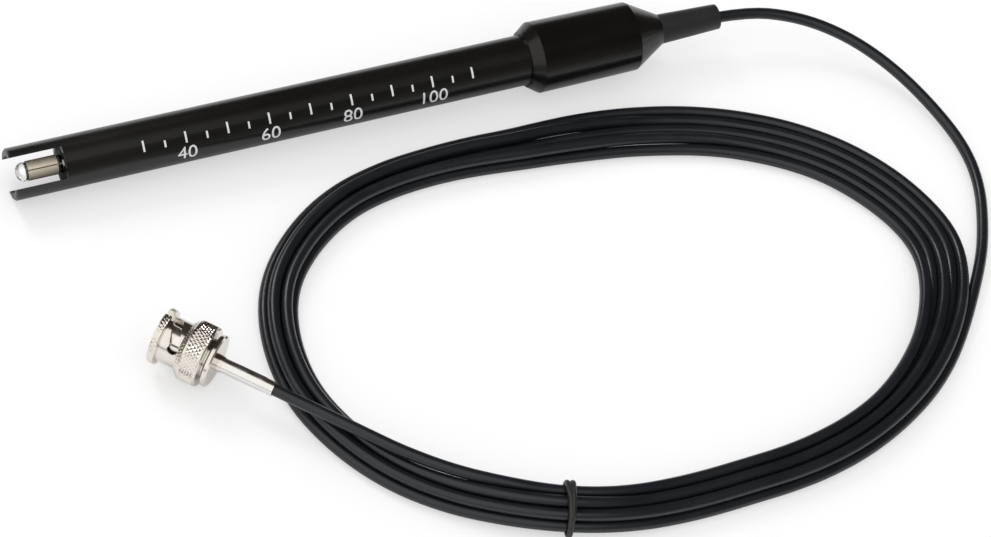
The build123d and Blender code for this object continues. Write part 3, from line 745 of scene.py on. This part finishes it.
def add_number(layout, along, number):
    """Flat number under a mark, added to the layout."""
    words = bpy.data.curves.new("number", "FONT")
    words.body = str(number)
    words.size = NUMBER_HEIGHT / DIGIT_HEIGHT_SHARE
    words.extrude = INK_THICKNESS / 2
    words.align_x = "CENTER"
    holder = bpy.data.objects.new("number", words)
    bpy.context.scene.collection.objects.link(holder)
    bpy.context.view_layer.update()
    shape = bpy.data.meshes.new_from_object(holder.evaluated_get(bpy.context.evaluated_depsgraph_get()))
    shape.transform(Matrix.Translation((along, -NUMBER_HEIGHT - NUMBER_GAP, 0)))
    layout.from_mesh(shape)
    bpy.data.objects.remove(holder)


def wrap_round_shaft(layout):
    """Cuts the flat layout into narrow strips and bends them round the shaft's near side."""
    for number in range(-WRAP_CUTS, WRAP_CUTS):
        everything = layout.verts[:] + layout.edges[:] + layout.faces[:]
        across = number * WRAP_STEP
        bmesh.ops.bisect_plane(layout, geom=everything, plane_co=(0, across, 0), plane_no=(0, 1, 0))
    side_up = (zenith - tip_to_boot * zenith.dot(tip_to_boot)).normalized()
    side_near = side_up.cross(tip_to_boot)
    if side_near.y > 0:
        side_near = -side_near
    for corner in layout.verts:
        around = MARKS_TURN - corner.co.y / SHAFT_RADIUS
        outward = side_up * math.cos(around) + side_near * math.sin(around)
        radius = SHAFT_RADIUS + INK_THICKNESS * INK_SUNK_SHARE + corner.co.z
        corner.co = tip + tip_to_boot * corner.co.x + outward * radius


layout = bmesh.new()
for distance in range(MARKS_FROM, MARKS_TO + 1, MARK_STEP):
    along = distance / MM_PER_METRE
    add_line(layout, along, SHORT_MARK if distance % LONG_MARK_STEP else LONG_MARK)
    if distance % NUMBER_STEP == 0:
        add_number(layout, along, distance)
bmesh.ops.remove_doubles(layout, verts=layout.verts, dist=SAME_PLACE)
wrap_round_shaft(layout)
marks_mesh = bpy.data.meshes.new("depth_marks")
layout.to_mesh(marks_mesh)
layout.free()
depth_marks = add_piece("depth_marks", marks_mesh, "root")
white_print = marked_material(
    "print_white", dark=(0.62, 0.64, 0.64), light=(0.78, 0.80, 0.80), roughness=(0.35, 0.5),
    patch_scale=400, grain_scale=3000, grain_depth=0.000005,
)
dress(white_print, depth_marks)


# Boot
# A soft black rubber sleeve that keeps the cable from bending sharply at the head.
boot_rubber = marked_material(
    "boot_rubber", dark=(0.010, 0.011, 0.012), light=(0.016, 0.017, 0.019), roughness=(0.42, 0.55),
    patch_scale=150, grain_scale=2600, grain_depth=0.00003,
)
dress(boot_rubber, "strain_relief")


# Sensor
# A clear glass stem with a domed end and a platinum sheet rolled round it, the dark epoxy it is set in, and
# the small porous pin beside it. Behind them are the gel and the silver wire that only a cut would show.
glass = bpy.data.materials.new("stem_glass")
tree = node_tree(glass)
marks = add_marks(tree, patch_scale=300, grain_scale=1500, roughness=(0.0, 0.04))
shader = add_node(tree, "BsdfPrincipled", {
    "Base Color": (0.97, 0.98, 0.975, 1), "Roughness": marks.outputs["Roughness"], "IOR": 1.5,
    "Transmission Weight": 1.0,
})
shown_by(tree, shader.outputs["BSDF"])
dress(glass, "sensor_stem")
stem_axis_turn = tuple(zenith.rotation_difference(tip_to_boot).inverted().to_euler())
platinum = plated_material(
    "platinum", tint=(0.90, 0.80, 0.66), shadow=(0.80, 0.70, 0.56), roughness=0.42,
    line_scale=900, line_depth=0.00001, axis_turn=stem_axis_turn, metallic=0.45,
)
dress(platinum, "platinum_band", "signal_wire")
epoxy = marked_material(
    "seal_epoxy", dark=(0.004, 0.004, 0.004), light=(0.008, 0.008, 0.008), roughness=(0.5, 0.7),
    patch_scale=400, grain_scale=2500, grain_depth=0.00004, specular=0.15,
)
dress(epoxy, "stem_seal", "rear_plug", "head_potting")
ceramic = marked_material(
    "junction_ceramic", dark=(0.5, 0.49, 0.46), light=(0.7, 0.69, 0.65), roughness=(0.7, 0.85),
    patch_scale=800, grain_scale=6000, grain_depth=0.00004,
)
dress(ceramic, "reference_junction")
gel = marked_material(
    "gel", dark=(0.6, 0.62, 0.6), light=(0.7, 0.72, 0.7), roughness=(0.2, 0.3),
    patch_scale=60, grain_scale=900, grain_depth=0.00001,
)
dress(gel, "reference_gel")
silver_chloride = marked_material(
    "silver_chloride", dark=(0.25, 0.23, 0.24), light=(0.45, 0.43, 0.43), roughness=(0.4, 0.6),
    patch_scale=300, grain_scale=3000, grain_depth=0.00002,
)
dress(silver_chloride, "reference_wire")


# Floor and light
# A white floor under plain soft light from all sides, with one lamp for the shadows. What the glossy plastic
# and the plated metal show is a dark room with a wide soft light on the left and a grey band nearby.
FLOOR_HALF = 3.0
FLOOR_WHITE = 0.92
FLOOR_GLOW_SHARE = 0.5
SOFT_LIGHT = Vector((-0.55, -0.25, 0.8)).normalized()
# Cosines of the angles from the soft light between which its edge fades in.
SOFT_LIGHT_EDGE = (0.64, 0.76)
SOFT_LIGHT_COLOUR = (1.15, 1.13, 1.10)
# Heights between which the band fades into the dark room, and the Y values between which it fades in.
BAND_LOW = 0.10
BAND_HIGH = 0.70
BAND_SIDE = (0.15, -0.35)
BAND_COLOUR = (0.30, 0.29, 0.24, 1)
ROOM_COLOUR = (0.022, 0.016, 0.012, 1)
FAR_ROOM_COLOUR = (0.030, 0.020, 0.013)
KEY_PLACE = Vector((-0.25, 0.75, 0.75))
KEY_TARGET = Vector((0.02, -0.05, 0))
KEY_SIZE = 0.35
KEY_POWER = 3.0

floor_mesh = bpy.data.meshes.new("floor")
corners = [(x * FLOOR_HALF, y * FLOOR_HALF, 0) for x, y in ((-1, -1), (1, -1), (1, 1), (-1, 1))]
floor_mesh.from_pydata(corners, [], [(0, 1, 2, 3)])
floor = bpy.data.objects.new("floor", floor_mesh)
bpy.context.scene.collection.objects.link(floor)
pale = bpy.data.materials.new("pale_floor")
tree = node_tree(pale)
lit = add_node(tree, "BsdfDiffuse", {"Color": (FLOOR_WHITE, FLOOR_WHITE, FLOOR_WHITE, 1)})
glow = add_node(tree, "Emission", {"Color": (1, 1, 1, 1), "Strength": 1.0})
seen = add_node(tree, "LightPath")
share = add_node(tree, "Math", {0: seen.outputs["Is Camera Ray"], 1: FLOOR_GLOW_SHARE}, operation="MULTIPLY")
blend = add_node(tree, "MixShader", {0: share.outputs[0], 1: lit.outputs[0], 2: glow.outputs[0]})
shown_by(tree, blend.outputs[0])
floor.data.materials.append(pale)


def smooth_range(tree, value, from_min, from_max):
    """Smooth step from 0 to 1 of a socket's value between two values."""
    return add_node(tree, "MapRange", {
        "Value": value, "From Min": from_min, "From Max": from_max,
    }, interpolation_type="SMOOTHSTEP").outputs["Result"]


world = bpy.data.worlds.new("studio")
bpy.context.scene.world = world
tree = node_tree(world)
direction = add_node(tree, "TexCoord").outputs["Generated"]
split = add_node(tree, "SeparateXYZ", {0: direction})
ramp = add_node(tree, "ValToRGB", {"Fac": split.outputs["Z"]})
band_start, band_end = ramp.color_ramp.elements
band_start.position = BAND_LOW
band_start.color = BAND_COLOUR
band_end.position = BAND_HIGH
band_end.color = ROOM_COLOUR
band_share = smooth_range(tree, split.outputs["Y"], *BAND_SIDE)
dark_room = mixed(tree, band_share, FAR_ROOM_COLOUR, ramp.outputs["Color"])
toward = add_node(tree, "VectorMath", {0: direction, 1: SOFT_LIGHT}, operation="DOT_PRODUCT")
soft_share = smooth_range(tree, toward.outputs["Value"], *SOFT_LIGHT_EDGE)
lit_room = mixed(tree, soft_share, dark_room, SOFT_LIGHT_COLOUR)
mirrored = add_node(tree, "Background", {"Color": lit_room, "Strength": 1.0})
ambient = add_node(tree, "Background", {"Color": (1, 1, 1, 1), "Strength": 1.0})
path = add_node(tree, "LightPath")
blend = add_node(tree, "MixShader", {
    0: path.outputs["Is Glossy Ray"], 1: ambient.outputs[0], 2: mirrored.outputs[0],
})
shown_by(tree, blend.outputs[0], "OutputWorld")

lamp = bpy.data.lights.new("key", "AREA")
lamp.size = KEY_SIZE
lamp.energy = KEY_POWER
key = bpy.data.objects.new("key", lamp)
bpy.context.scene.collection.objects.link(key)
key.location = KEY_PLACE
key.rotation_euler = (KEY_TARGET - KEY_PLACE).to_track_quat("-Z", "Y").to_euler()
